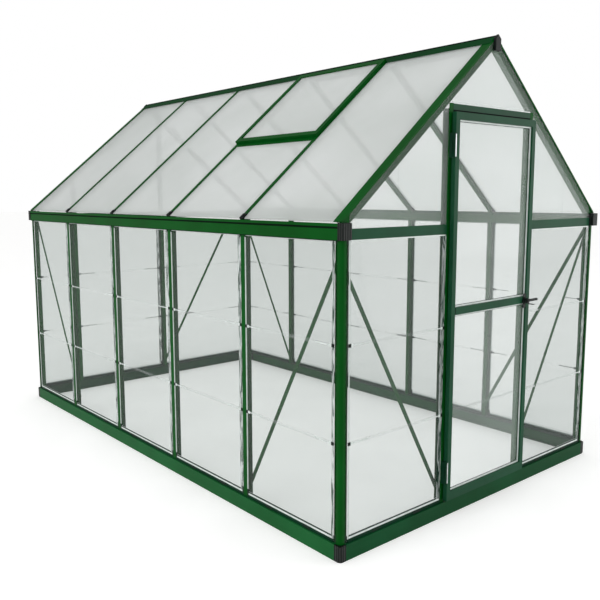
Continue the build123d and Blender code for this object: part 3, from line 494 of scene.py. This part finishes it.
# Dark brackets beside the corner posts, at the sill and under the eaves
SMALL_ROUND = 0.0008
BRACKET_DEPTH = (ON_PANE, -0.0006)
BRACKET_WIDTH = 0.007
BRACKET_UPS = ((SILL_TOP - 0.012, SILL_TOP + 0.022), (EAVES - 0.014, EAVES))
links = Shape("stud_connectors", "dark_connector")
for side, end in (("left", WALL_Y), ("right", WALL_Y), ("front", WALL_X), ("rear", WALL_X)):
    for way in (-1, 1):
        span = sorted((way * (end - POST_NOSE), way * (end - POST_NOSE - BRACKET_WIDTH)))
        for up in BRACKET_UPS:
            on_wall(links, side, BRACKET_DEPTH, span, up, SMALL_ROUND)

# Dark clips along the sills, two to a bay
SILL_CLIP_DEPTH = (-0.0004, 0.0016)
SILL_CLIP_HALF = 0.022
SILL_CLIP_SHARES = (0.28, 0.72)  # where the clips sit along a bay
SILL_CLIP_UP = (SILL_TOP - 0.0135, SILL_TOP + 0.001)
for side in ("left", "right", "front", "rear"):
    for low, high in wall_bays(side):
        for share in SILL_CLIP_SHARES:
            middle = low + (high - low) * share
            span = (middle - SILL_CLIP_HALF, middle + SILL_CLIP_HALF)
            on_wall(links, side, SILL_CLIP_DEPTH, span, SILL_CLIP_UP, SMALL_ROUND)
links.done()

# Dark strips of painted shade in the groove and under the face of the eaves rails, which are in two
# lengths
EAVES_LENGTHS = ((-1.507, 0.3295), (0.3305, 1.507))
GROOVE_DEPTH = (0.003, 0.0052)
GROOVE_UP = (EAVES + 0.0435, EAVES + 0.0485)
LIP_DEPTH = (0.0005, 0.0086)
LIP_UP = (EAVES - 0.0028, EAVES + 0.0002)
shade_strips = Shape("eaves_shade_strips", "rubber_and_shade", slot="black_plastic")
for side in ("left", "right"):
    for span in EAVES_LENGTHS:
        on_wall(shade_strips, side, GROOVE_DEPTH, span, GROOVE_UP, SMALL_ROUND)
        on_wall(shade_strips, side, LIP_DEPTH, span, LIP_UP, SMALL_ROUND)
shade_strips.done()

# Black caps over the feet of the rafters, each with a small boss.
# Corners are along the slope, across the rafter and off the slope.
FOOT_CAP = ((-0.002, -0.015, -0.012), (0.028, 0.015, 0.0025))
FOOT_CAP_ROUND = 0.0024
FOOT_BOSS = ((0.004, -0.007, 0.0015), (0.020, 0.007, 0.0055))
FOOT_BOSS_ROUND = 0.002
feet = Shape("rafter_foot_caps", "black_plastic")
for mirror_x in (1, -1):
    for y in STUDS:
        turn = Matrix.Rotation(-SLOPE, 4, "Y")
        place = Matrix.Translation((ROOF_FOOT[0], y, ROOF_FOOT[1])) @ turn
        flip = Matrix.Diagonal((mirror_x, 1, 1, 1))
        feet.block(*FOOT_CAP, FOOT_CAP_ROUND, flip @ place)
        feet.block(*FOOT_BOSS, FOOT_BOSS_ROUND, flip @ place)
feet.done()

# Cover angle along the ridge, narrower at the vent, with a dark seam along its top.
# A wing is its width down one slope, and a rise is a range off the slope.
RIDGE_END = 1.5205
RIDGE_RISE = (0.0002, 0.0022)
RIDGE_INNER = -0.0008
RIDGE_ROUND = 0.0007
SEAM_END = 1.5195
SEAM_ACROSS = (-0.0130, -0.0016)
SEAM_RISE = (0.0016, 0.0027)
THIN_ROUND = 0.0004
WING = 0.0445
WIDE_WING = 0.060
VENT_SPAN = (-0.925, -0.292)
LEFT_LENGTHS = (
    (-RIDGE_END, VENT_SPAN[0], WIDE_WING),
    (VENT_SPAN[0], VENT_SPAN[1], WING),
    (VENT_SPAN[1], RIDGE_END, WIDE_WING),
)
RIGHT_LENGTHS = ((-RIDGE_END, RIDGE_END, WIDE_WING),)
cover = Shape("ridge_cover", "ridge_green", slot="green_frame")
seam = Shape("ridge_seam", "rubber_and_shade", slot="black_plastic")
for mirror_x, lengths in ((1, LEFT_LENGTHS), (-1, RIGHT_LENGTHS)):
    flip = Matrix.Diagonal((mirror_x, 1, 1, 1))
    place = flip @ Matrix.Translation((0, 0, APEX)) @ Matrix.Rotation(-SLOPE, 4, "Y")
    for low, high, wing in lengths:
        cover.block((-wing, low, RIDGE_RISE[0]), (RIDGE_INNER, high, RIDGE_RISE[1]), RIDGE_ROUND, place)
    seam.block(
        (SEAM_ACROSS[0], -SEAM_END, SEAM_RISE[0]), (SEAM_ACROSS[1], SEAM_END, SEAM_RISE[1]),
        THIN_ROUND, place,
    )
cover.done()
seam.done()

# Small screws on top of the base rail below the door
SCREW_XS = (-0.24, -0.08, 0.08, 0.24)
SCREW_Y = -WALL_Y + 0.0025
BASE_TOP = 0.066
screws = Shape("frame_screws", "screw_metal", slot="hinge_metal")
for x in SCREW_XS:
    screws.screw((x, SCREW_Y, BASE_TOP))
screws.done()

# Bright covers in front of the hinge pins
HINGE_FEET = (0.156, 1.555)
HINGE_COVER_X = (-0.2995, -0.2945)
HINGE_COVER_Y = (LEAF_FRONT - 0.0036, LEAF_FRONT + 0.0005)
HINGE_COVER_UP = (0.004, 0.096)  # above the foot of its hinge
HINGE_COVER_ROUND = 0.001
covers = Shape("hinge_covers", "hinge_metal", "door")
for foot in HINGE_FEET:
    low = (HINGE_COVER_X[0], HINGE_COVER_Y[0], foot + HINGE_COVER_UP[0])
    high = (HINGE_COVER_X[1], HINGE_COVER_Y[1], foot + HINGE_COVER_UP[1])
    covers.block(low, high, HINGE_COVER_ROUND)
covers.done()

# Pale beads of painted highlight and dark lines round the panes of the door, on the recessed faces of
# its profiles
RECESS = -WALL_Y - 0.0115
EDGE_X = 0.270
DOOR_PANES_UP = ((0.116, 0.898), (0.930, 1.710))
DOOR_BEAD = 0.007
DOOR_BEAD_Y = (RECESS - 0.005, RECESS + 0.0005)
DOOR_BEAD_ROUND = 0.0012
LINE_Y = (RECESS - 0.0012, RECESS + 0.0004)
UPRIGHT_LINE = 0.0095  # from the edge of the pane to the inner side of an upright dark line
LEVEL_LINE = 0.009  # the same for a level one
LINE_ROUND = 0.0005
MID_RAIL_UP = (0.8985, 0.9295)
MID_RAIL_Y = (LEAF_FRONT - 0.0006, LEAF_FRONT + 0.002)
MID_RAIL_END = 0.004  # width of the dark line at each end of the middle rail
beads = Shape("door_beads", "highlight_trim", "door", "clear_strip")
edges = Shape("door_edges", "rubber_and_shade", "door", "black_plastic")
for low, high in DOOR_PANES_UP:
    for way in (-1, 1):
        span = sorted((way * EDGE_X, way * (EDGE_X - DOOR_BEAD)))
        beads.block((span[0], DOOR_BEAD_Y[0], low), (span[1], DOOR_BEAD_Y[1], high), DOOR_BEAD_ROUND)
        span = sorted((way * (EDGE_X - DOOR_BEAD), way * (EDGE_X - UPRIGHT_LINE)))
        foot = low + LEVEL_LINE
        top = high - LEVEL_LINE
        edges.block((span[0], LINE_Y[0], foot), (span[1], LINE_Y[1], top), LINE_ROUND)
    for z, way in ((low, 1), (high, -1)):
        up = sorted((z, z + way * DOOR_BEAD))
        end = EDGE_X - DOOR_BEAD
        beads.block((-end, DOOR_BEAD_Y[0], up[0]), (end, DOOR_BEAD_Y[1], up[1]), DOOR_BEAD_ROUND)
        up = sorted((z + way * DOOR_BEAD, z + way * LEVEL_LINE))
        end = EDGE_X - LEVEL_LINE
        edges.block((-end, LINE_Y[0], up[0]), (end, LINE_Y[1], up[1]), LINE_ROUND)
for way in (-1, 1):
    span = sorted((way * EDGE_X, way * (EDGE_X - MID_RAIL_END)))
    low = (span[0], MID_RAIL_Y[0], MID_RAIL_UP[0])
    high = (span[1], MID_RAIL_Y[1], MID_RAIL_UP[1])
    edges.block(low, high, THIN_ROUND)
beads.done()
edges.done()

# Header trims: a dark strip over the leaf and a pale one of painted highlight along the top
DARK_STRIP_LOW = (-0.2835, -WALL_Y - 0.0022, 1.7415)
DARK_STRIP_HIGH = (0.2835, -WALL_Y + 0.001, 1.7500)
CREST_LOW = (-0.283, -WALL_Y - 0.0008, 1.7745)
CREST_HIGH = (0.283, -WALL_Y + 0.004, 1.7795)
CREST_ROUND = 0.001
header = Shape("header_dark_strip", "rubber_and_shade", slot="black_plastic")
header.block(DARK_STRIP_LOW, DARK_STRIP_HIGH, SMALL_ROUND)
header.done()
crest = Shape("header_highlight", "highlight_trim", slot="clear_strip")
crest.block(CREST_LOW, CREST_HIGH, CREST_ROUND)
crest.done()


# Pale floor that is white to the camera and in reflections but keeps the object's shadow
FLOOR_HALF = 60
FLOOR_GLOW = 0.35
tree, shader, place = blank("studio_floor")
shader.inputs["Roughness"].default_value = 0.9
shader.inputs["Specular IOR Level"].default_value = 0.05
shader.inputs["Emission Color"].default_value = (1, 0.995, 0.985, 1)
grain = node(tree, "ShaderNodeTexNoise", Vector=place, Scale=3.0, Detail=3.0)
tone = ramp(tree, grain.outputs["Fac"], (0.80, 0.80, 0.80, 1), (0.84, 0.84, 0.84, 1))
tree.links.new(tone, shader.inputs["Base Color"])
rays = node(tree, "ShaderNodeLightPath")
seen = maths(tree, "MAXIMUM", rays.outputs["Is Camera Ray"], rays.outputs["Is Glossy Ray"])
tree.links.new(spread(tree, seen, 0.0, FLOOR_GLOW), shader.inputs["Emission Strength"])
mesh = bpy.data.meshes.new("floor")
corners = [(x * FLOOR_HALF, y * FLOOR_HALF, 0) for x, y in ((-1, -1), (1, -1), (1, 1), (-1, 1))]
mesh.from_pydata(corners, [], [(0, 1, 2, 3)])
mesh.materials.append(FINISH["studio_floor"])
floor = bpy.data.objects.new("floor", mesh)
bpy.context.scene.collection.objects.link(floor)

# World: white to the camera and through the panes, dimmer in reflections, soft light elsewhere
SKY_LIGHT = 0.78
SKY_SEEN = 1.0
SKY_REFLECTED = 0.4
world = bpy.data.worlds.new("studio")
bpy.context.scene.world = world
world.use_nodes = True
tree = world.node_tree
light = tree.nodes["Background"]
light.inputs["Color"].default_value = (1, 1, 1, 1)
light.inputs["Strength"].default_value = SKY_LIGHT
white = node(tree, "ShaderNodeBackground", Color=(1, 1, 1, 1), Strength=SKY_SEEN)
soft = node(tree, "ShaderNodeBackground", Color=(1, 1, 1, 1), Strength=SKY_REFLECTED)
rays = node(tree, "ShaderNodeLightPath")
seen = maths(tree, "MAXIMUM", rays.outputs["Is Camera Ray"], rays.outputs["Is Transmission Ray"])
lit = mixed(tree, rays.outputs["Is Glossy Ray"], light.outputs[0], soft.outputs[0])
sky = mixed(tree, seen, lit, white.outputs[0])
tree.links.new(sky, tree.nodes["World Output"].inputs["Surface"])


def lamp(name, place, target, size, power):
    """Soft area light aimed at a point."""
    data = bpy.data.lights.new(name, "AREA")
    data.shape = "RECTANGLE"
    data.size = size[0]
    data.size_y = size[1]
    data.energy = power
    made = bpy.data.objects.new(name, data)
    made.location = place
    made.rotation_euler = (Vector(target) - Vector(place)).to_track_quat("-Z", "Y").to_euler()
    made.visible_camera = False
    bpy.context.scene.collection.objects.link(made)


lamp("key", place=(-7.5, -1.0, 4.5), target=(0, 0, 1.0), size=(5.0, 5.0), power=200)
lamp("front", place=(6.5, -6.5, 2.4), target=(0, -1.5, 1.0), size=(6.0, 4.0), power=180)

# Camera fitted to the photo: focal length and optical centre in its pixels, place, and angles
PICTURE = 600
FOCAL = 718.0
CENTRE = (287, 290)
EYE = (-2.7405, -3.3935, 1.407)
PAN = math.radians(-39.87)
TILT = math.radians(90 - 7.56)
ROLL = math.radians(-0.22)
SENSOR = 36
VIEW_END = 300
scene = bpy.context.scene
scene.view_settings.view_transform = "Standard"
eye = bpy.data.cameras.new("camera")
eye.sensor_width = SENSOR
eye.lens = FOCAL / PICTURE * SENSOR
eye.shift_x = (PICTURE / 2 - CENTRE[0]) / PICTURE
eye.shift_y = (CENTRE[1] - PICTURE / 2) / PICTURE
eye.clip_end = VIEW_END
camera = bpy.data.objects.new("camera", eye)
camera.location = EYE
turn = Matrix.Rotation(PAN, 3, "Z") @ Matrix.Rotation(TILT, 3, "X") @ Matrix.Rotation(ROLL, 3, "Z")
camera.rotation_euler = turn.to_euler()
scene.collection.objects.link(camera)
scene.camera = camera
